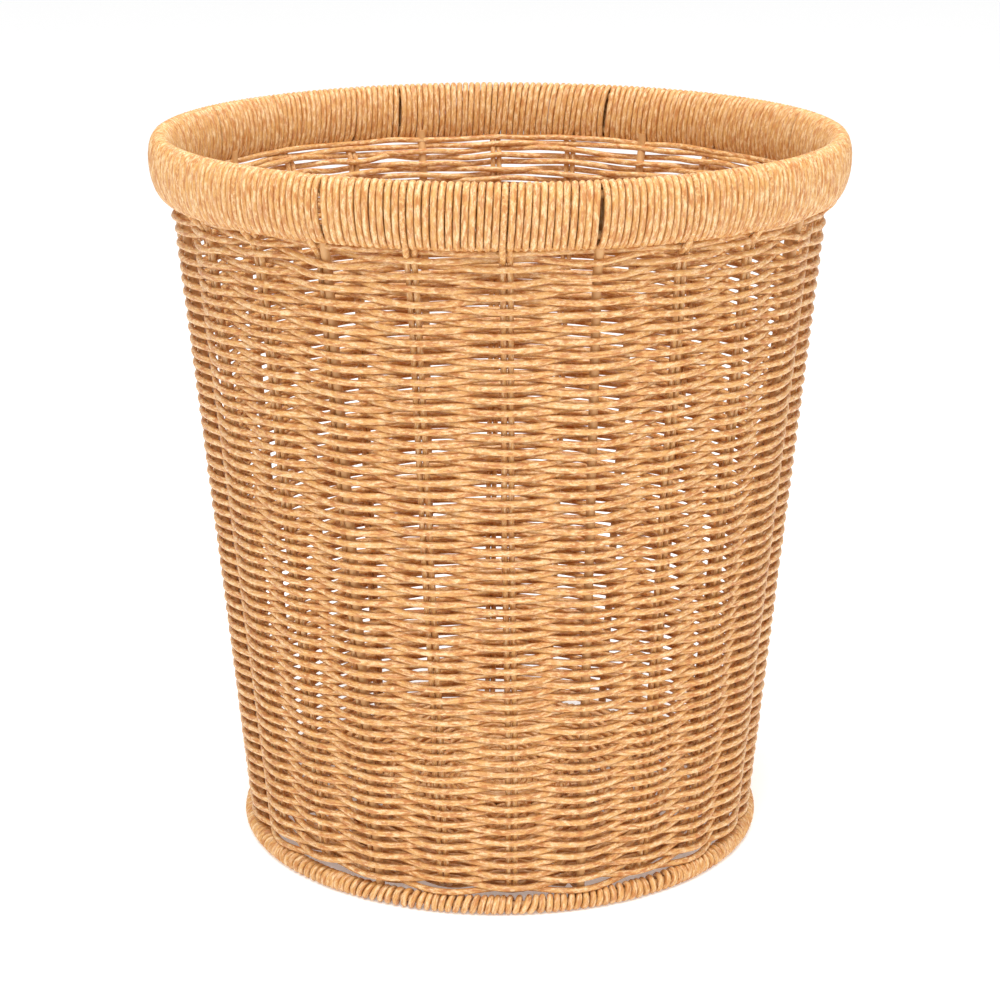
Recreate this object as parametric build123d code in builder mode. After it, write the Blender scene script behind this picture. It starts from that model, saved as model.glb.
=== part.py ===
"""Round woven wastebasket: a welded wire frame, strand stakes and a woven wall and base.

Millimetres. +Z is up and the floor is z = 0. The origin is the middle of the foot on the
floor, and the front of the basket faces -Y. Frame rods and strand stakes stand round the
wall at equal angles. The wall, the base and the two wrappings are woven or wound from one
thin strand, and each is modelled as a closed solid of its true outer shape, with a channel
for every rod and strand that runs through it.
"""
import os
from math import cos, hypot, radians, sin, sqrt

from build123d import *

# --- driving dimensions -----------------------------------------------------------------
height = 280.0
rim_outer_radius = 133.0
foot_outer_radius = 104.2

strand_diameter = 2.3
rod_diameter = 3.4
rim_wire_diameter = 3.0
foot_wire_diameter = 2.8
base_wire_diameter = 2.6

frame_rod_count = 8
stakes_between_rods = 2
first_rod_angle = -74.2  # just right of the front, in degrees from +X
foot_twist = 2.0  # rods and stakes lean: their feet stand this much further round

rim_height = 24.4  # along the collar's own long axis
rim_thickness = 10.4
rim_lean = 6.0  # the collar leans outwards at the top
ring_side_gap = 0.42  # the rim wires lie this far off the sides of the collar's oval hollow

wall_thickness = 7.2
wall_inset_from_rim = 6.7  # wall centre line inside the collar's centre line
wall_inset_from_foot = 1.8
crank_depth = 34.0  # below the rim's top, where rods and stakes turn out to the collar
crank_height = 10.0  # above that they stand upright again, inside the collar

base_thickness = 7.0
hub_radius = 16.0
foot_flat = 0.25  # how far the foot wrapping is pressed flat on the floor
stake_leg_gap = 0.4  # between the two legs of one stake strand
channel_clearance = 0.05
rest_gap = 0.1  # left between two woven pieces that lie against each other

# --- worked out from them ---------------------------------------------------------------
strand_radius = strand_diameter / 2
rod_radius = rod_diameter / 2
slot_count = frame_rod_count * (stakes_between_rods + 1)
slot_angle = 360 / slot_count
rod_angles = []
stake_angles = []
for slot in range(slot_count):
    angle = first_rod_angle + slot * slot_angle
    if slot % (stakes_between_rods + 1) == 0:
        rod_angles.append(angle)
    else:
        stake_angles.append(angle)

rim_half_height = hypot(rim_height / 2 * cos(radians(rim_lean)), rim_thickness / 2 * sin(radians(rim_lean)))
rim_center_radius = rim_outer_radius - rim_thickness / 2
rim_center_z = height - rim_half_height
rim_bottom = height - 2 * rim_half_height
hollow_half_height = rim_height / 2 - strand_diameter
hollow_half_thickness = rim_thickness / 2 - strand_diameter
ring_fill = (rim_wire_diameter / 2 + ring_side_gap) / hollow_half_thickness
ring_offset = sqrt((hollow_half_height**2 - hollow_half_thickness**2) * (1 - ring_fill**2))
ring_shift_out = ring_offset * sin(radians(rim_lean))
ring_shift_up = ring_offset * cos(radians(rim_lean))

foot_thickness = foot_wire_diameter + 2 * strand_diameter
foot_center_radius = foot_outer_radius - foot_thickness / 2
foot_center_z = foot_thickness / 2 - foot_flat
foot_top = foot_center_z + foot_thickness / 2

wall_bottom = foot_top + rest_gap
wall_top = rim_bottom - rest_gap
wall_low_radius = foot_center_radius - wall_inset_from_foot
crank_z = height - crank_depth
crank_radius = rim_center_radius - wall_inset_from_rim
wall_slope = (crank_radius - wall_low_radius) / (crank_z - wall_bottom)
collar_z = crank_z + crank_height
ring_inner_radius = rim_center_radius - ring_shift_out - rim_wire_diameter / 2
rod_top = rim_center_z - ring_shift_up
rod_top_radius = ring_inner_radius - rod_radius - rest_gap / 2
stake_top_radius = ring_inner_radius - strand_radius - rest_gap / 2
wall_top_radius = (rod_top_radius + stake_top_radius) / 2

rod_bottom = foot_center_z + foot_wire_diameter / 2 + channel_clearance / 2
rod_bottom_radius = wall_low_radius - wall_slope * (wall_bottom - rod_bottom)
base_z = foot_top + strand_radius + rest_gap
base_lean = foot_twist * (1 - base_z / crank_z)
base_corner_radius = wall_low_radius + wall_slope * (base_z - wall_bottom)
base_outer_radius = wall_low_radius - wall_thickness / 2 - rest_gap
spoke_start = hub_radius + base_wire_diameter / 2
spoke_end = base_corner_radius - rod_radius - rest_gap
stake_leg_offset = strand_radius + stake_leg_gap / 2
stake_width = 2 * stake_leg_offset + strand_diameter
stakes_clear_radius = (stake_width + rest_gap) / (2 * sin(radians(slot_angle / 2)))
stake_start = max(spoke_start + strand_diameter, stakes_clear_radius)
stake_bend_radius = strand_radius + stake_leg_gap / 2 - channel_clearance
splice_offset = rod_radius + strand_radius + rest_gap


def upright_plane(angle):
    """The vertical plane through the axis at this angle: x runs outwards, y up."""
    outwards = (cos(radians(angle)), sin(radians(angle)), 0)
    sideways = (sin(radians(angle)), -cos(radians(angle)), 0)
    return Plane(origin=(0, 0, 0), x_dir=outwards, z_dir=sideways)


def spoke_plane(angle):
    """The plane across a base spoke, where it meets the hub ring."""
    outwards = (cos(radians(angle)), sin(radians(angle)), 0)
    start = (spoke_start * outwards[0], spoke_start * outwards[1], base_z)
    return Plane(origin=start, z_dir=outwards)


def leaning_point(radius, z, sideways=0.0):
    """A point of an upright, in its own plane: below the crank it is turned by the lean."""
    lean = radians(foot_twist * max(0.0, 1 - z / crank_z))
    outwards = radius * cos(lean) + sideways * sin(lean)
    return (outwards, z, sideways * cos(lean) - radius * sin(lean))


def upright_points(bottom_radius, bottom, top_radius, sideways=0.0):
    """Centre line of an upright: up the wall, then cranked out to the collar's lower ring."""
    return [
        leaning_point(bottom_radius, bottom, sideways),
        leaning_point(crank_radius, crank_z, sideways),
        leaning_point(top_radius, collar_z, sideways),
        leaning_point(top_radius, rod_top, sideways),
    ]


def stake_points():
    """Centre line of a strand bent double: base, wall and bend in the collar, and back."""
    leg = [
        (stake_start, base_z),
        (base_corner_radius, base_z),
        (crank_radius, crank_z),
        (stake_top_radius, collar_z),
        (stake_top_radius, rod_top - strand_radius),
    ]
    upward = [leaning_point(radius, z, stake_leg_offset) for radius, z in leg]
    downward = [leaning_point(radius, z, -stake_leg_offset) for radius, z in reversed(leg)]
    return upward + downward


os.makedirs("parts", exist_ok=True)

# --- the frame's rings ------------------------------------------------------------------
with BuildPart() as rim_top_ring:
    with BuildSketch(Plane.XZ):
        with Locations((rim_center_radius + ring_shift_out, rim_center_z + ring_shift_up)):
            Circle(rim_wire_diameter / 2)
    revolve(axis=Axis.Z)
rim_top_ring.part.label = "rim_top_ring"
export_step(rim_top_ring.part, "parts/rim_top_ring.step")

with BuildPart() as rim_lower_ring:
    with BuildSketch(Plane.XZ):
        with Locations((rim_center_radius - ring_shift_out, rim_center_z - ring_shift_up)):
            Circle(rim_wire_diameter / 2)
    revolve(axis=Axis.Z)
rim_lower_ring.part.label = "rim_lower_ring"
export_step(rim_lower_ring.part, "parts/rim_lower_ring.step")

with BuildPart() as foot_ring:
    with BuildSketch(Plane.XZ):
        with Locations((foot_center_radius, foot_center_z)):
            Circle(foot_wire_diameter / 2)
    revolve(axis=Axis.Z)
foot_ring.part.label = "foot_ring"
export_step(foot_ring.part, "parts/foot_ring.step")

with BuildPart() as base_hub_ring:
    with BuildSketch(Plane.XZ):
        with Locations((hub_radius, base_z)):
            Circle(base_wire_diameter / 2)
    revolve(axis=Axis.Z)
base_hub_ring.part.label = "base_hub_ring"
export_step(base_hub_ring.part, "parts/base_hub_ring.step")

# --- upright rods and base spokes -------------------------------------------------------
for number, angle in enumerate(rod_angles, start=1):
    with BuildPart() as upright_rod:
        with BuildLine(upright_plane(angle)) as rod_line:
            FilletPolyline(
                *upright_points(rod_bottom_radius, rod_bottom, rod_top_radius), radius=rod_diameter
            )
        with BuildSketch(Plane(origin=rod_line.line @ 0, z_dir=rod_line.line % 0)):
            Circle(rod_radius)
        sweep(path=rod_line.line)
    upright_rod.part.label = f"upright_rod_{number}"
    export_step(upright_rod.part, f"parts/upright_rod_{number}.step")

    with BuildPart() as base_spoke:
        with BuildSketch(spoke_plane(angle + base_lean)):
            Circle(base_wire_diameter / 2)
        extrude(amount=spoke_end - spoke_start)
    base_spoke.part.label = f"base_spoke_{number}"
    export_step(base_spoke.part, f"parts/base_spoke_{number}.step")

# --- strand stakes ----------------------------------------------------------------------
for number, angle in enumerate(stake_angles, start=1):
    with BuildPart() as stake_strand:
        with BuildLine(upright_plane(angle)) as stake_line:
            FilletPolyline(*stake_points(), radius=stake_bend_radius)
        with BuildSketch(Plane(origin=stake_line.line @ 0, z_dir=stake_line.line % 0)):
            Circle(strand_radius)
        sweep(path=stake_line.line)
    stake_strand.part.label = f"stake_strand_{number}"
    export_step(stake_strand.part, f"parts/stake_strand_{number}.step")

# One more strand lies beside the last upright, at the front left, where it was spliced in.
splice_angle = rod_angles[-1]
splice_bottom = wall_bottom + strand_radius
splice_bottom_radius = wall_low_radius + wall_slope * strand_radius
with BuildPart() as splice_strand:
    with BuildLine(upright_plane(splice_angle)) as splice_line:
        FilletPolyline(
            *upright_points(splice_bottom_radius, splice_bottom, stake_top_radius, splice_offset),
            radius=rod_diameter,
        )
    with BuildSketch(Plane(origin=splice_line.line @ 0, z_dir=splice_line.line % 0)):
        Circle(strand_radius)
    sweep(path=splice_line.line)
splice_strand.part.label = "splice_strand"
export_step(splice_strand.part, "parts/splice_strand.step")

# --- channels: the rods and strands again, a little thicker, to be cut from what they cross
with BuildPart() as rod_channel:
    with BuildLine(upright_plane(0)) as rod_channel_line:
        FilletPolyline(
            *upright_points(rod_bottom_radius, rod_bottom, rod_top_radius), radius=rod_diameter
        )
    with BuildSketch(Plane(origin=rod_channel_line.line @ 0, z_dir=rod_channel_line.line % 0)):
        Circle(rod_radius + channel_clearance)
    sweep(path=rod_channel_line.line)

with BuildPart() as stake_channel:
    with BuildLine(upright_plane(0)) as stake_channel_line:
        FilletPolyline(*stake_points(), radius=stake_bend_radius)
    with BuildSketch(Plane(origin=stake_channel_line.line @ 0, z_dir=stake_channel_line.line % 0)):
        Circle(strand_radius + channel_clearance)
    sweep(path=stake_channel_line.line)

with BuildPart() as splice_channel:
    with BuildLine(upright_plane(0)) as splice_channel_line:
        FilletPolyline(
            *upright_points(splice_bottom_radius, splice_bottom, stake_top_radius, splice_offset),
            radius=rod_diameter,
        )
    with BuildSketch(Plane(origin=splice_channel_line.line @ 0, z_dir=splice_channel_line.line % 0)):
        Circle(strand_radius + channel_clearance)
    sweep(path=splice_channel_line.line)

with BuildPart() as spoke_channel:
    with BuildSketch(spoke_plane(base_lean)):
        Circle(base_wire_diameter / 2 + channel_clearance)
    extrude(amount=spoke_end - spoke_start)

# --- the woven wall: a flared cone that turns out to the collar at its top ----------------
half_wall = wall_thickness / 2
with BuildPart() as wall_weave:
    with BuildSketch(Plane.XZ):
        Polygon(
            (wall_low_radius - half_wall, wall_bottom),
            (wall_low_radius + half_wall, wall_bottom),
            (crank_radius + half_wall, crank_z),
            (wall_top_radius + half_wall, collar_z),
            (wall_top_radius + half_wall, wall_top),
            (wall_top_radius - half_wall, wall_top),
            (wall_top_radius - half_wall, collar_z),
            (crank_radius - half_wall, crank_z),
            align=None,
        )
    revolve(axis=Axis.Z)
    for angle in rod_angles:
        add(rod_channel.part, rotation=(0, 0, angle), mode=Mode.SUBTRACT)
        add(spoke_channel.part, rotation=(0, 0, angle), mode=Mode.SUBTRACT)
    for angle in stake_angles:
        add(stake_channel.part, rotation=(0, 0, angle), mode=Mode.SUBTRACT)
    add(splice_channel.part, rotation=(0, 0, splice_angle), mode=Mode.SUBTRACT)
wall_weave.part.label = "wall_weave"
export_step(wall_weave.part, "parts/wall_weave.step")

# --- the woven base: a thick round mat over the spokes, the stake legs and the hub ring ---
with BuildPart() as base_weave:
    with BuildSketch(Plane.XY.offset(base_z - base_thickness / 2)):
        Circle(base_outer_radius)
    extrude(amount=base_thickness)
    with BuildSketch(Plane.XZ):
        with Locations((hub_radius, base_z)):
            Circle(base_wire_diameter / 2 + channel_clearance)
    revolve(axis=Axis.Z, mode=Mode.SUBTRACT)
    for angle in rod_angles:
        add(spoke_channel.part, rotation=(0, 0, angle), mode=Mode.SUBTRACT)
    for angle in stake_angles:
        add(stake_channel.part, rotation=(0, 0, angle), mode=Mode.SUBTRACT)
base_weave.part.label = "base_weave"
export_step(base_weave.part, "parts/base_weave.step")

# --- the collar's wrapping: a hollow leaning oval, wound round both rim rings -------------
with BuildPart() as rim_wrap:
    with BuildSketch(Plane.XZ):
        with Locations((rim_center_radius, rim_center_z)):
            Ellipse(rim_thickness / 2, rim_height / 2, rotation=-rim_lean)
            Ellipse(
                hollow_half_thickness, hollow_half_height, rotation=-rim_lean, mode=Mode.SUBTRACT
            )
    revolve(axis=Axis.Z)
    with BuildSketch(Plane.XY.offset(wall_top)):
        for angle in rod_angles:
            with PolarLocations(rod_top_radius, 1, start_angle=angle):
                Circle(rod_radius + channel_clearance)
        for angle in stake_angles:
            with PolarLocations(stake_top_radius, 1, start_angle=angle):
                SlotCenterToCenter(2 * stake_leg_offset, strand_diameter + 2 * channel_clearance, rotation=90)
        with PolarLocations(stake_top_radius, 1, start_angle=splice_angle):
            with Locations((0, -splice_offset)):
                Circle(strand_radius + channel_clearance)
    extrude(amount=rod_top + channel_clearance - wall_top, mode=Mode.SUBTRACT)
rim_wrap.part.label = "rim_wrap"
export_step(rim_wrap.part, "parts/rim_wrap.step")

# --- the foot's wrapping: wound round the foot ring, and pressed flat where it stands -----
with BuildPart() as foot_wrap:
    with BuildSketch(Plane.XZ):
        with Locations((foot_center_radius, foot_center_z)):
            Circle(foot_thickness / 2)
            Circle(foot_wire_diameter / 2 + channel_clearance, mode=Mode.SUBTRACT)
        with Locations((foot_center_radius, 0)):
            Rectangle(
                foot_thickness,
                foot_thickness,
                align=(Align.CENTER, Align.MAX),
                mode=Mode.SUBTRACT,
            )
    revolve(axis=Axis.Z)
    for angle in rod_angles:
        add(rod_channel.part, rotation=(0, 0, angle), mode=Mode.SUBTRACT)
foot_wrap.part.label = "foot_wrap"
export_step(foot_wrap.part, "parts/foot_wrap.step")
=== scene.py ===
"""A round wastebasket, hand woven from thin marbled strand over a welded and painted wire frame.

The sections follow the basket as it is made: the welded frame, the stakes, the base, the wall,
the foot's winding and the collar's winding, and then the room that it stands in. Metres, +Z up,
the front of the basket towards -Y.
"""
from math import ceil, copysign, cos, exp, hypot, pi, radians, sin, tau

import bmesh
import bpy
import numpy as np
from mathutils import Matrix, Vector
from mathutils.noise import noise


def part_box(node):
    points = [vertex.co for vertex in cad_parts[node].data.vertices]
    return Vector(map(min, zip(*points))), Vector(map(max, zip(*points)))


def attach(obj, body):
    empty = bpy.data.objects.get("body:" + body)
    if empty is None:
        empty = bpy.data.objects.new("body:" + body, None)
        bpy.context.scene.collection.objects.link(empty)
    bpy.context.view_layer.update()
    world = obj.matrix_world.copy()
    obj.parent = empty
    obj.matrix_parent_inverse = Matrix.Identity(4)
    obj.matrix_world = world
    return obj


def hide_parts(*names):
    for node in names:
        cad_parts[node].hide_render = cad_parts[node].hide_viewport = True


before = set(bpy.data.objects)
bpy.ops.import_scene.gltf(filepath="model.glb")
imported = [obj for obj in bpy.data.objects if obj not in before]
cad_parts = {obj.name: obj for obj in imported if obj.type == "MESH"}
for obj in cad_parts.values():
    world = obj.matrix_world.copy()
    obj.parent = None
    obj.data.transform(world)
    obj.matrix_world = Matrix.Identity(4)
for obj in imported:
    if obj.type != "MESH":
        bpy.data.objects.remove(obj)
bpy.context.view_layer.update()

# --- The welded frame -----------------------------------------------------------------------
# Eight upright rods of 3.4 mm steel wire, two wire rings in the collar, one in the foot, and
# eight thin spokes that meet a small ring under the middle of the base. All are spot welded
# and then dipped in a tan paint that lies a little thick and shows faint runs.
paint_color = (0.700, 0.400, 0.165, 1.0)
paint_shade = (0.540, 0.280, 0.100, 1.0)


def shade_nodes(name):
    """A new material: its node tree's nodes and links, and its shader."""
    material = bpy.data.materials.new(name)
    material.use_nodes = True
    tree = material.node_tree
    return material, tree.nodes, tree.links, tree.nodes["Principled BSDF"]


def painted_steel():
    material, nodes, links, shader = shade_nodes("tan_painted_steel")
    place = nodes.new("ShaderNodeTexCoord")
    stretch = nodes.new("ShaderNodeMapping")
    stretch.inputs["Scale"].default_value = (1.0, 1.0, 0.15)
    links.new(place.outputs["Object"], stretch.inputs["Vector"])
    runs = nodes.new("ShaderNodeTexNoise")
    runs.inputs["Scale"].default_value = 420.0
    runs.inputs["Detail"].default_value = 4.0
    links.new(stretch.outputs["Vector"], runs.inputs["Vector"])
    tint = nodes.new("ShaderNodeMix")
    tint.data_type = "RGBA"
    tint.inputs["A"].default_value = paint_shade
    tint.inputs["B"].default_value = paint_color
    links.new(runs.outputs["Fac"], tint.inputs["Factor"])
    links.new(tint.outputs["Result"], shader.inputs["Base Color"])
    sheen = nodes.new("ShaderNodeMapRange")
    sheen.inputs["To Min"].default_value = 0.34
    sheen.inputs["To Max"].default_value = 0.55
    links.new(runs.outputs["Fac"], sheen.inputs["Value"])
    links.new(sheen.outputs["Result"], shader.inputs["Roughness"])
    orange_peel = nodes.new("ShaderNodeBump")
    orange_peel.inputs["Distance"].default_value = 0.0001
    orange_peel.inputs["Strength"].default_value = 0.35
    links.new(runs.outputs["Fac"], orange_peel.inputs["Height"])
    links.new(orange_peel.outputs["Normal"], shader.inputs["Normal"])
    return material


tan_paint = painted_steel()
steel_pieces = ["rim_top_ring", "rim_lower_ring", "foot_ring", "base_hub_ring"]
steel_pieces += [f"upright_rod_{number}" for number in range(1, 9)]
steel_pieces += [f"base_spoke_{number}" for number in range(1, 9)]
for name in steel_pieces:
    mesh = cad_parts[name].data
    mesh.materials.clear()
    mesh.materials.append(tan_paint)

# --- The strand and the stakes --------------------------------------------------------------
# All the rest is one kind of strand, about 2.3 mm thick, extruded in gold with cream patches and
# orange-brown flecks marbled into it. Sixteen strands hang doubled over the collar as stakes,
# two between each pair of rods: both legs run down the wall side by side and in along the base.
strand_thick = 0.0023
strand_radius = strand_thick / 2
slots = 24
slots_per_rod = 3
first_rod = radians(-74.2)
rod_radius = 0.0017
leg_apart = 0.0025
base_middle = (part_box("base_spoke_1")[0].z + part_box("base_spoke_1")[1].z) / 2
wall_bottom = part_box("wall_weave")[0].z
wall_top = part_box("wall_weave")[1].z
wall_foot_radius = 0.0987
crank_radius = 0.1211
crank_height = 0.246
collar_foot_radius = 0.1237
collar_foot_height = 0.256
stake_end = 0.0185
stake_bend = 0.006
foot_lean = radians(2.0)
beside_rod = rod_radius + strand_radius + 0.0002
leg_leaves_wall = wall_top - 0.006
leg_meets_collar = 0.06
splice_tucks_in = 0.62

collar_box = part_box("rim_wrap")
collar_strand = 0.00245
collar_lean = radians(6.0)
collar_long_side = 0.0122
collar_short_side = 0.0052
collar_half_height = collar_long_side - collar_strand / 2
collar_half_width = collar_short_side - collar_strand / 2
collar_radius = collar_box[1].x - hypot(
    collar_long_side * sin(collar_lean), collar_short_side * cos(collar_lean)
)
collar_middle = (collar_box[0].z + collar_box[1].z) / 2
collar_places = 314
turn_slant = 0.45
slit_opening = 0.27
slits_outside = [15.4, -27.6, 96.0, 171.0, 236.0]
slits_inside = [-161.0, 158.5, 110.0, -116.0, 42.0, -75.0]


def blend(low, high, share):
    return low + (high - low) * share


def smooth_share(value, start, end):
    share = min(max((value - start) / (end - start), 0.0), 1.0)
    return share * share * (3 - 2 * share)


def wall_radius(z):
    """The wall's middle: a cone that turns out a little where it meets the collar."""
    if z < crank_height:
        share = (z - wall_bottom) / (crank_height - wall_bottom)
        return blend(wall_foot_radius, crank_radius, share)
    share = min((z - crank_height) / (collar_foot_height - crank_height), 1.0)
    return blend(crank_radius, collar_foot_radius, share)


def is_rod(slot):
    return slot % slots_per_rod == 0


def slot_turn(slot, z):
    """Where a slot's rod or stake stands at this height, as an angle. Stakes wander a little."""
    turn = first_rod + slot % slots * tau / slots + foot_lean * (1 - z / crank_height)
    if not is_rod(slot):
        turn += 0.007 * noise(Vector((slot % slots * 3.7, z / 0.055, 1.3)))
    return turn


def around(turn, radius, z):
    return Vector((radius * cos(turn), radius * sin(turn), z))


def collar_spot(share):
    """The radius and height of the collar's strand, at this share of a turn up from below."""
    section = tau * share - pi / 2
    out = collar_half_width * cos(section)
    up = collar_half_height * sin(section)
    radius = collar_radius + out * cos(collar_lean) + up * sin(collar_lean)
    return radius, collar_middle - out * sin(collar_lean) + up * cos(collar_lean)


def collar_turn(place, share):
    """Where a place stands round the collar: turns slant a little, and part at a few slits."""
    section = tau * share - pi / 2
    around_x = 2.3 * cos(place * tau / collar_places)
    around_y = 2.3 * sin(place * tau / collar_places)
    aside = turn_slant * noise(Vector((around_x, around_y, 11.0))) * sin(section)
    for slits, facing in ((slits_outside, cos(section)), (slits_inside, -cos(section))):
        for slit in slits:
            slit_place = (slit - 90) / 360 * collar_places // 1 + 0.5
            off = (place - slit_place + collar_places / 2) % collar_places - collar_places / 2
            aside += slit_opening * max(facing, 0.0) * copysign(exp(-abs(off) / 4), off)
    advance = smooth_share(share, 0.45, 1.0)
    return (place + advance + aside) * tau / collar_places


def strand_mesh(route, thick, start):
    """A round strand along the points of route. Its UV map runs in metres from start."""
    curve = bpy.data.curves.new("strand", "CURVE")
    curve.dimensions = "3D"
    curve.bevel_depth = thick / 2
    curve.bevel_resolution = 2  # makes the strand eight sided
    curve.use_fill_caps = True
    spline = curve.splines.new("POLY")
    spline.points.add(len(route) - 1)
    spline.points.foreach_set("co", [number for place in route for number in (*place, 1.0)])
    holder = bpy.data.objects.new("strand", curve)
    mesh = bpy.data.meshes.new_from_object(holder)
    length = sum((after - before).length for before, after in zip(route, route[1:]))
    uv = np.empty(len(mesh.loops) * 2, np.float32)
    layer = mesh.uv_layers[0]
    layer.name = "Strand"
    layer.data.foreach_get("uv", uv)
    uv[0::2] = start + uv[0::2] * length
    layer.data.foreach_set("uv", uv)
    bpy.data.objects.remove(holder)
    bpy.data.curves.remove(curve)
    return mesh, length


def lay_out_for_baking(mesh, total, thick):
    """A second UV map that cuts the whole length into side by side strips that fill a square."""
    strips = max(1, ceil((total / (pi * thick)) ** 0.5))
    strip_length = total / strips
    uv = np.empty(len(mesh.loops) * 2, np.float32)
    mesh.uv_layers["Strand"].data.foreach_get("uv", uv)
    along = uv[0::2].astype(float)
    starts = np.empty(len(mesh.polygons), np.int32)
    mesh.polygons.foreach_get("loop_start", starts)
    counts = np.empty(len(mesh.polygons), np.int32)
    mesh.polygons.foreach_get("loop_total", counts)
    strip = np.floor(np.minimum.reduceat(along, starts) / strip_length)
    strip = np.repeat(np.clip(strip, 0, strips - 1), counts)
    laid = np.empty_like(uv)
    laid[0::2] = 0.01 + 0.96 * (along - strip * strip_length) / strip_length
    laid[1::2] = (strip + 0.06 + 0.88 * uv[1::2]) / strips
    mesh.uv_layers.new(name="OFBake").data.foreach_set("uv", laid)


def strand_piece(name, routes, material, stands_for, thick=strand_thick):
    """One piece of one or more strands, riding on the basket in place of CAD nodes."""
    whole = bmesh.new()
    total = 0.0
    for route in routes:
        part, length = strand_mesh(route, thick, total)
        whole.from_mesh(part)
        bpy.data.meshes.remove(part)
        total += length
    mesh = bpy.data.meshes.new(name)
    whole.to_mesh(mesh)
    whole.free()
    lay_out_for_baking(mesh, total, thick)
    mesh.uv_layers["Strand"].active = True
    mesh.uv_layers["Strand"].active_render = True
    mesh.materials.append(material)
    piece = bpy.data.objects.new(name, mesh)
    bpy.context.scene.collection.objects.link(piece)
    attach(piece, "root")
    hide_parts(*stands_for)
    return piece


def math_node(nodes, links, operation, first, second=None):
    node = nodes.new("ShaderNodeMath")
    node.operation = operation
    for place, value in zip((0, 1), (first, second)):
        if isinstance(value, (int, float)):
            node.inputs[place].default_value = value
        elif value is not None:
            links.new(value, node.inputs[place])
    return node.outputs[0]


def marbling_group():
    """The strand's marbling: colour, roughness and height from its own length and girth."""
    group = bpy.data.node_groups.new("strand_marbling", "ShaderNodeTree")
    sockets = group.interface
    sockets.new_socket(name="Strand", in_out="INPUT", socket_type="NodeSocketVector")
    sockets.new_socket(name="Golden", in_out="INPUT", socket_type="NodeSocketColor")
    sockets.new_socket(name="Cream", in_out="INPUT", socket_type="NodeSocketColor")
    sockets.new_socket(name="Fleck", in_out="INPUT", socket_type="NodeSocketColor")
    sockets.new_socket(name="Fleck Share", in_out="INPUT", socket_type="NodeSocketFloat")
    sockets.new_socket(name="Color", in_out="OUTPUT", socket_type="NodeSocketColor")
    sockets.new_socket(name="Roughness", in_out="OUTPUT", socket_type="NodeSocketFloat")
    sockets.new_socket(name="Height", in_out="OUTPUT", socket_type="NodeSocketFloat")
    nodes = group.nodes
    links = group.links
    given = nodes.new("NodeGroupInput")
    result = nodes.new("NodeGroupOutput")
    split = nodes.new("ShaderNodeSeparateXYZ")
    links.new(given.outputs["Strand"], split.inputs[0])
    turn = math_node(nodes, links, "MULTIPLY", split.outputs["Y"], tau)
    girth_x = math_node(nodes, links, "COSINE", turn)
    girth_y = math_node(nodes, links, "SINE", turn)

    def marbled_noise(per_metre, per_girth, detail, roughness):
        """Noise along the strand, closed round its girth."""
        spot = nodes.new("ShaderNodeCombineXYZ")
        links.new(math_node(nodes, links, "MULTIPLY", split.outputs["X"], per_metre), spot.inputs[0])
        links.new(math_node(nodes, links, "MULTIPLY", girth_x, per_girth), spot.inputs[1])
        links.new(math_node(nodes, links, "MULTIPLY", girth_y, per_girth), spot.inputs[2])
        texture = nodes.new("ShaderNodeTexNoise")
        texture.inputs["Scale"].default_value = 1.0
        texture.inputs["Detail"].default_value = detail
        texture.inputs["Roughness"].default_value = roughness
        links.new(spot.outputs[0], texture.inputs["Vector"])
        return texture.outputs["Fac"]

    def share_of(value, low, high):
        step = nodes.new("ShaderNodeMapRange")
        step.interpolation_type = "SMOOTHSTEP"
        step.inputs["From Min"].default_value = low
        step.inputs["From Max"].default_value = high
        links.new(value, step.inputs["Value"])
        return step.outputs["Result"]

    def mix_colors(share, first, second):
        mix = nodes.new("ShaderNodeMix")
        mix.data_type = "RGBA"
        links.new(share, mix.inputs["Factor"])
        links.new(first, mix.inputs["A"])
        links.new(second, mix.inputs["B"])
        return mix.outputs["Result"]

    cream_patches = share_of(marbled_noise(360.0, 1.05, 4.0, 0.62), 0.44, 0.62)
    fleck_patches = share_of(marbled_noise(300.0, 1.10, 5.0, 0.72), 0.475, 0.57)
    speckle = share_of(marbled_noise(1300.0, 2.9, 2.0, 0.55), 0.50, 0.60)
    slow_change = share_of(marbled_noise(45.0, 0.30, 2.0, 0.50), 0.15, 0.52)
    fibres = marbled_noise(420.0, 4.5, 3.0, 0.65)
    base_color = mix_colors(cream_patches, given.outputs["Golden"], given.outputs["Cream"])
    fleck = math_node(nodes, links, "MULTIPLY", fleck_patches, slow_change)
    faint_speckle = math_node(nodes, links, "MULTIPLY", speckle, 0.42)
    fleck = math_node(nodes, links, "MAXIMUM", fleck, faint_speckle)
    fleck = math_node(nodes, links, "MULTIPLY", fleck, given.outputs["Fleck Share"])
    flecked_color = mix_colors(fleck, base_color, given.outputs["Fleck"])
    links.new(flecked_color, result.inputs["Color"])
    gloss = nodes.new("ShaderNodeMapRange")
    gloss.inputs["To Min"].default_value = 0.32
    gloss.inputs["To Max"].default_value = 0.54
    links.new(fibres, gloss.inputs["Value"])
    links.new(gloss.outputs["Result"], result.inputs["Roughness"])
    links.new(fibres, result.inputs["Height"])
    return group


marbling = marbling_group()
golden = (0.700, 0.385, 0.125, 1.0)
cream = (0.880, 0.620, 0.335, 1.0)
fleck_brown = (0.470, 0.145, 0.026, 1.0)


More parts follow.
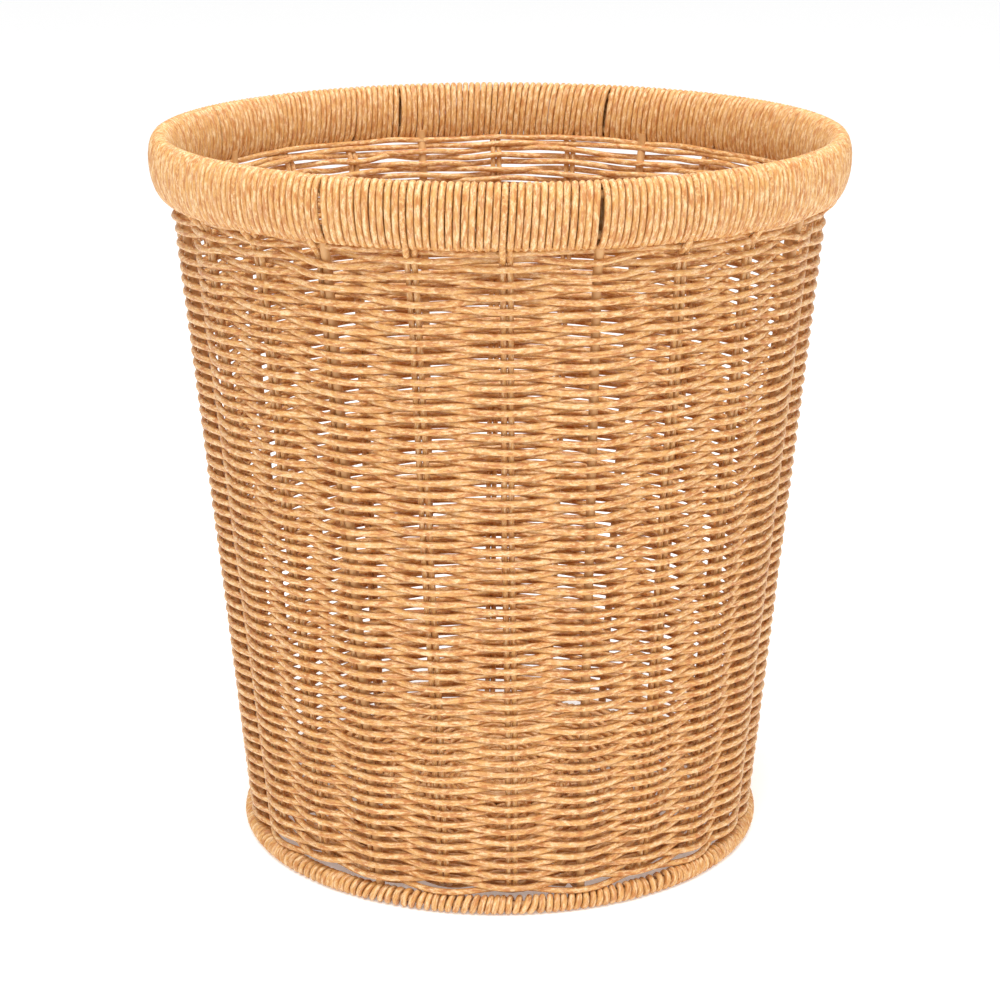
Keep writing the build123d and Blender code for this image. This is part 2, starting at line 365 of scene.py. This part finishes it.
def strand_material(name, fleck_share):
    material, nodes, links, shader = shade_nodes(name)
    laid = nodes.new("ShaderNodeUVMap")
    laid.uv_map = "Strand"
    marbled = nodes.new("ShaderNodeGroup")
    marbled.node_tree = marbling
    marbled.inputs["Golden"].default_value = golden
    marbled.inputs["Cream"].default_value = cream
    marbled.inputs["Fleck"].default_value = fleck_brown
    marbled.inputs["Fleck Share"].default_value = fleck_share
    links.new(laid.outputs["UV"], marbled.inputs["Strand"])
    links.new(marbled.outputs["Color"], shader.inputs["Base Color"])
    links.new(marbled.outputs["Roughness"], shader.inputs["Roughness"])
    grain = nodes.new("ShaderNodeBump")
    grain.inputs["Distance"].default_value = 0.00012
    grain.inputs["Strength"].default_value = 0.6
    links.new(marbled.outputs["Height"], grain.inputs["Height"])
    links.new(grain.outputs["Normal"], shader.inputs["Normal"])
    return material


stake_finish = strand_material("stake_strand", 0.70)


def stake_leg(slot, sideways):
    """One leg of a stake: out along the base, round the corner and up the wall."""
    route = []
    foot_turn = slot_turn(slot, base_middle)
    bend_radius = wall_radius(base_middle) - stake_bend
    bend_top = base_middle + stake_bend
    for step in range(12):
        route.append(around(foot_turn, blend(stake_end, bend_radius, step / 11), base_middle))
    for step in range(1, 6):
        swing = pi / 2 * step / 6
        out = bend_radius + stake_bend * sin(swing)
        route.append(around(foot_turn, out, bend_top - stake_bend * cos(swing)))
    steps = 62
    for step in range(steps + 1):
        z = blend(bend_top, leg_leaves_wall, step / steps)
        route.append(around(slot_turn(slot, z), wall_radius(z), z))
    side = Vector((-sin(foot_turn), cos(foot_turn), 0.0)) * sideways
    return [place + side for place in route]


def wall_to_collar(start_turn, place, share):
    """From the wall at this angle to the edge of the collar's place, in one soft S."""
    route = []
    end_radius, end_z = collar_spot(share)
    drift = (collar_turn(place, share) - start_turn + pi) % tau - pi
    for step in range(1, 7):
        way = step / 7
        eased = smooth_share(way, 0.0, 1.0)
        radius = blend(wall_radius(leg_leaves_wall), end_radius, eased)
        z = blend(leg_leaves_wall, end_z, way)
        route.append(around(start_turn + drift * eased, radius, z))
    return route


def round_collar(place, last_share, steps):
    """Round the collar at one place, from its outer lower edge to this share of a turn."""
    route = []
    for step in range(steps + 1):
        share = blend(leg_meets_collar, last_share, step / steps)
        route.append(around(collar_turn(place, share), *collar_spot(share)))
    return route


def over_collar(slot, place):
    """A stake's bend: off the wall, up the collar's outer face, over it and down its inner one."""
    middle = slot_turn(slot, leg_leaves_wall)
    half_angle = leg_apart / 2 / wall_radius(leg_leaves_wall)
    up = wall_to_collar(middle - half_angle, place, leg_meets_collar)
    down = wall_to_collar(middle + half_angle, place, 1 - leg_meets_collar)
    return up + round_collar(place, 1 - leg_meets_collar, 28) + down[::-1]


def nearest_place(turn):
    """The collar's place whose outer face comes down nearest to this angle."""
    return min(
        range(collar_places),
        key=lambda place: abs((collar_turn(place, leg_meets_collar) - turn + pi) % tau - pi),
    )


stake_places = set()
stake_number = 0
for slot in range(slots):
    if is_rod(slot):
        continue
    stake_number += 1
    outer_turn = slot_turn(slot, leg_leaves_wall) - leg_apart / 2 / wall_radius(leg_leaves_wall)
    place = nearest_place(outer_turn)
    stake_places.add(place)
    up_leg = stake_leg(slot, -leg_apart / 2)
    down_leg = stake_leg(slot, leg_apart / 2)[::-1]
    route = up_leg + over_collar(slot, place) + down_leg
    stands_for = [f"stake_strand_{stake_number}"]
    strand_piece(f"hanging_stake_{stake_number}", [route], stake_finish, stands_for)

# One more strand lies beside the last rod, where it was spliced in: up the wall, and over the
# collar until it tucks in behind.
splice_slot = slots - slots_per_rod
splice_route = []
for step in range(65):
    z = blend(wall_bottom + strand_radius, leg_leaves_wall, step / 64)
    turn = slot_turn(splice_slot, z)
    beside = Vector((-sin(turn), cos(turn), 0.0)) * -beside_rod
    splice_route.append(around(turn, wall_radius(z), z) + beside)
splice_turn = slot_turn(splice_slot, leg_leaves_wall)
splice_turn -= beside_rod / wall_radius(leg_leaves_wall)
splice_place = nearest_place(splice_turn)
stake_places.add(splice_place)
splice_route += wall_to_collar(splice_turn, splice_place, leg_meets_collar)
splice_route += round_collar(splice_place, splice_tucks_in, 16)
strand_piece("spliced_stake", [splice_route], stake_finish, ["splice_strand"])

# --- The base -------------------------------------------------------------------------------
# The base is woven first: one strand goes round and round, over one spoke or stake and under
# the next, from the hub ring out to the wall. Flat coils, above and below, close the hub.
weaving_finish = strand_material("weaving_strand", 0.85)
base_row_pitch = 0.00236
base_first_row = 0.0205
base_last_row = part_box("base_weave")[1].x - strand_radius
base_steps = 6
base_pressed = 0.95
hub_coil_offset = 0.0025
hub_coil_start = 0.0008
hub_coil_steps = 36


def stake_reach(slot):
    """How far a row's middle stands off the middle of what it passes."""
    through = rod_radius if is_rod(slot) else strand_radius
    return through + strand_radius


def swing_past(slot, share):
    """The sideways place of a row between two slots: out past one, in past the next."""
    here = stake_reach(slot) * (1 + cos(pi * share)) / 2
    there = stake_reach(slot + 1) * (1 - cos(pi * share)) / 2
    return here - there


base_rows = int((base_last_row - base_first_row) / base_row_pitch)
base_route = []
for step in range(base_rows * slots * base_steps + 1):
    slot = step // base_steps
    share = step % base_steps / base_steps
    lap = step / (slots * base_steps)
    turn = first_rod + foot_lean + lap * tau
    side = 1 if (slot + slot // slots) % 2 == 0 else -1
    radius = base_first_row + lap * base_row_pitch
    wave = base_pressed * side * swing_past(slot, share)
    base_route.append(around(turn, radius, base_middle + wave))
strand_piece("base_weaving", [base_route], weaving_finish, ["base_weave"])

hub_coil_turns = base_first_row / strand_thick
for name, offset in (("hub_coil_above", hub_coil_offset), ("hub_coil_below", -hub_coil_offset)):
    coil = []
    for step in range(int(hub_coil_turns * hub_coil_steps)):
        lap = step / hub_coil_steps
        radius = hub_coil_start + lap * strand_thick
        coil.append(around(lap * tau, radius, base_middle + offset))
    strand_piece(name, [coil], weaving_finish, ["base_weave"])

# --- The wall -------------------------------------------------------------------------------
# Two strands chase each other up the wall, each outside one stake and inside the next, so
# that the rows alternate. The second starts half a lap behind. They are worked in lengths of
# about nine metres, with their ends inside. The rows waver, and lie loose near the collar.
wall_strand = 0.0024
row_pitch = 0.00233
first_row = wall_bottom + wall_strand / 2
last_row = wall_top + 0.0010
first_slot = 21
settling = 0.022
loose_from = 0.225
shared_waver = 0.0011
own_waver = 0.00042
loose_waver = 0.0012
loose_lift = 0.0015
row_droop = 0.13
wall_steps = 10
wall_laps = (last_row - first_row) / (2 * row_pitch)
lengths_per_weaver = 4
between_legs = wall_top - 0.0045
start_turn = slot_turn(first_slot, wall_bottom)
end_turn = start_turn + wall_laps * tau


def half_lap_ramp(turn):
    """Grows from 0 to 1 over half a lap, and falls back just before the next strand's end."""
    way = turn / pi % 1
    return way * (1 - smooth_share(way, 0.88, 1.0))


def row_height(turn, z, weaver):
    """A row's height: pressed on the foot and up to the collar, with its waver and looseness."""
    drop = half_lap_ramp(turn - start_turn) * (1 - smooth_share(z, first_row, first_row + settling))
    rise = half_lap_ramp(end_turn - turn) * smooth_share(z, last_row - settling, last_row)
    z += (rise - drop) * row_pitch
    x = cos(turn) * 2.4
    y = sin(turn) * 2.4
    crowded = smooth_share(z, between_legs, wall_top)
    loose = smooth_share(z, loose_from, wall_top) * (1 - 0.7 * crowded)
    together = shared_waver * noise(Vector((x, y, z / 0.045)))
    own_noise = noise(Vector((x * 2.6, y * 2.6, z / 0.0021 + weaver * 9.1)))
    own = (own_waver + loose_waver * loose) * own_noise
    lift = loose_lift * loose * noise(Vector((x * 1.3, y * 1.3, z / 0.012 + 5.0)))
    settled = smooth_share(z, wall_bottom, wall_bottom + 0.006)
    return max(z + settled * (together + own + lift), wall_bottom)


def length_start(length):
    """The step where a length begins: always at an inside pass."""
    return int(wall_laps * length / lengths_per_weaver * slots / 2) * 2 * wall_steps


for weaver in range(2):
    for length in range(lengths_per_weaver):
        first_step = length_start(length)
        last_step = length_start(length + 1)
        route = []
        for step in range(first_step, last_step + 1):
            slot = first_slot + weaver * (slots // 2 + 1) + step // wall_steps
            share = step % wall_steps / wall_steps
            lap = step / (slots * wall_steps)
            z = first_row + 2 * (lap + weaver / slots) * row_pitch
            here = slot_turn(slot, z)
            onward = (slot_turn(slot + 1, z) - here) % tau
            turn = here + onward * share
            side = 1 if (slot + weaver) % 2 == 0 else -1
            uneven = 1 + 0.10 * noise(Vector((slot * 1.7, z / 0.003, 2.0)))
            swing = side * swing_past(slot, share) * uneven
            swing *= 1 - 0.8 * smooth_share(z, between_legs - 0.001, between_legs + 0.001)
            height = row_height(turn, z, weaver) - row_droop * swing
            route.append(around(turn, wall_radius(z) + swing, height))
        number = weaver * lengths_per_weaver + length + 1
        strand_piece(
            f"wall_weaving_{number}",
            [route],
            weaving_finish,
            ["wall_weave"],
            wall_strand,
        )

# --- The foot's winding ---------------------------------------------------------------------
# The foot ring is wound with strand, turn beside turn. The turns bunch and gape a little here
# and there, and are pressed flat where the basket stands.
winding_finish = strand_material("winding_strand", 0.75)
foot_ring_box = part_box("foot_ring")
foot_middle = (foot_ring_box[0].z + foot_ring_box[1].z) / 2
foot_wire = (foot_ring_box[1].z - foot_ring_box[0].z) / 2
foot_radius = foot_ring_box[1].x - foot_wire
foot_strand = 0.00245
foot_turns = 220
foot_steps = 14
foot_lift = 0.00002

foot_route = []
for step in range(foot_turns * foot_steps + 1):
    way = step / foot_steps
    section = tau * (way % 1) - pi / 2
    ring_x = 5.0 * cos(way * tau / foot_turns)
    ring_y = 5.0 * sin(way * tau / foot_turns)
    reach = foot_wire + strand_radius + 0.00015 * noise(Vector((ring_x * 4, ring_y * 4, 4.0)))
    slant = 0.6 * noise(Vector((ring_x * 2.3, ring_y * 2.3, 7.0))) * sin(section)
    bunch = 1.1 * noise(Vector((ring_x, ring_y, 3.0)))
    turn = (way + slant + bunch) * tau / foot_turns
    height = max(foot_middle + reach * sin(section), foot_strand / 2 + foot_lift)
    foot_route.append(around(turn, foot_radius + reach * cos(section), height))
strand_piece(
    "foot_winding", [foot_route], winding_finish, ["foot_wrap"], foot_strand
)

# --- The collar's winding -------------------------------------------------------------------
# Both rim rings are wound together into a tall oval collar that leans outwards and stands
# proud of the wall. The turns are upright outside and step sideways inside. They leave a place
# for each stake that hangs over the collar, and here and there two of them part at a slit.
collar_steps = 22
open_places = [place for place in range(collar_places) if place not in stake_places]

collar_route = []
for number, place in enumerate(open_places):
    following = open_places[(number + 1) % len(open_places)]
    skipped = (following - place) % collar_places - 1
    for step in range(collar_steps):
        share = step / collar_steps
        jitter = 0.10 * noise(Vector((place * 0.83, share * 1.5, 6.0)))
        turn = collar_turn(place, share)
        turn += (jitter + skipped * smooth_share(share, 0.86, 1.0)) * tau / collar_places
        collar_route.append(around(turn, *collar_spot(share)))
strand_piece(
    "collar_winding", [collar_route], winding_finish, ["rim_wrap"], collar_strand
)

# --- The room -------------------------------------------------------------------------------
# A plain white floor that runs on to the horizon, soft light from above and in front, and a
# camera a little above the collar, looking down at the front of the basket.
floor_mesh = bpy.data.meshes.new("floor")
floor_form = bmesh.new()
bmesh.ops.create_grid(floor_form, x_segments=1, y_segments=1, size=12.0)
floor_form.to_mesh(floor_mesh)
floor_form.free()
floor = bpy.data.objects.new("floor", floor_mesh)
bpy.context.scene.collection.objects.link(floor)
floor_finish, _, _, shader = shade_nodes("floor_paper")
shader.inputs["Base Color"].default_value = (0.97, 0.97, 0.97, 1.0)
shader.inputs["Roughness"].default_value = 0.9
shader.inputs["Emission Color"].default_value = (1.0, 1.0, 1.0, 1.0)
shader.inputs["Emission Strength"].default_value = 0.22
floor_mesh.materials.append(floor_finish)

sky = bpy.data.worlds.new("studio")
sky.use_nodes = True
backdrop = sky.node_tree.nodes["Background"]
backdrop.inputs["Color"].default_value = (1.0, 1.0, 1.0, 1.0)
backdrop.inputs["Strength"].default_value = 0.76
bpy.context.scene.world = sky


def soft_light(name, place, target, size, power):
    lamp = bpy.data.lights.new(name, "AREA")
    lamp.shape = "SQUARE"
    lamp.size = size
    lamp.energy = power
    holder = bpy.data.objects.new(name, lamp)
    holder.location = place
    holder.rotation_euler = (Vector(target) - Vector(place)).to_track_quat("-Z", "Y").to_euler()
    bpy.context.scene.collection.objects.link(holder)


soft_light("key_light", (-0.3, -1.2, 1.6), (0, 0, 0.15), 0.9, 9.0)
soft_light("fill_light", (1.3, -1.2, 0.9), (0, 0, 0.15), 0.9, 3.0)
soft_light("top_light", (0.0, -0.3, 1.5), (0, 0, 0.25), 1.0, 16.0)

camera_distance = 0.951
camera_height = 0.417
camera_dip = radians(16.73)
camera_data = bpy.data.cameras.new("camera")
camera_data.sensor_width = 36.0
camera_data.lens = 89.97
camera = bpy.data.objects.new("camera", camera_data)
camera.location = (0.0, -camera_distance, camera_height)
camera.rotation_euler = (pi / 2 - camera_dip, 0.0, 0.0)
bpy.context.scene.collection.objects.link(camera)
bpy.context.scene.camera = camera
bpy.context.scene.view_settings.view_transform = "Standard"
